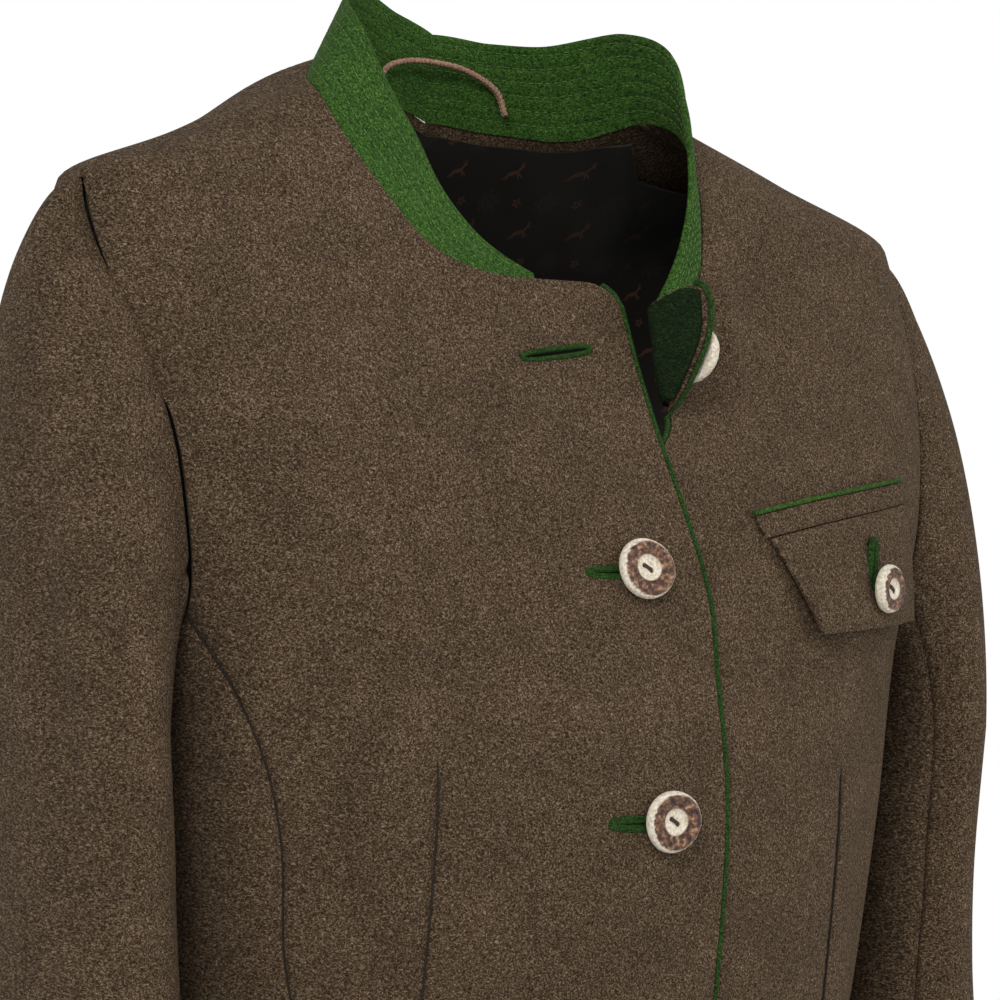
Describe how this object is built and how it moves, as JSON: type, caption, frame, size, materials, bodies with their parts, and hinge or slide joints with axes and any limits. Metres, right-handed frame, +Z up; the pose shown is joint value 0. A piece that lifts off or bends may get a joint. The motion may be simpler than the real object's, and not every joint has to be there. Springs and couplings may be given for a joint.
{
  "type": "tyrolean loden jacket",
  "caption": "Short loden jacket with stand collar, piped edges, bound buttonholes, horn buttons and a flapped chest pocket, open at the neck.",
  "frame": {"origin": "midway between the side neck points, on the shoulder line that carries the jacket", "axes": "+Z up, front faces -Y, the wearer's left is +X"},
  "size_m": [0.56, 0.2541, 0.7004],
  "materials": {
    "brown_loden": "felted wool, matte",
    "collar_loden": "felted wool, topstitched",
    "green_piping": "wool piping, matte",
    "facing_cloth": "dark green brushed cloth",
    "lining_satin": "satin weave lining",
    "braided_cord": "braided cord",
    "stag_horn": "stag horn, bark face and pale cut rim"
  },
  "bodies": {
    "root": {"right_front": "brown_loden", "left_front": "brown_loden", "right_side_panel": "brown_loden", "left_side_panel": "brown_loden", "right_back": "brown_loden", "left_back": "brown_loden", "right_sleeve_top": "brown_loden", "right_sleeve_under": "brown_loden", "left_sleeve_top": "brown_loden", "left_sleeve_under": "brown_loden", "stand_collar": "collar_loden", "right_front_piping": "green_piping", "left_front_piping": "green_piping", "left_facing": "facing_cloth", "back_lining": "lining_satin", "buttonhole_1": "green_piping", "buttonhole_2": "green_piping", "buttonhole_3": "green_piping", "buttonhole_4": "green_piping", "buttonhole_5": "green_piping", "button_1": "stag_horn", "button_2": "stag_horn", "button_3": "stag_horn", "button_4": "stag_horn", "button_5": "stag_horn", "pocket_welt": "brown_loden", "pocket_piping": "green_piping", "pocket_flap": "brown_loden", "flap_buttonhole": "green_piping", "flap_button": "stag_horn", "hanger_loop": "braided_cord"}
  },
  "joints": []
}
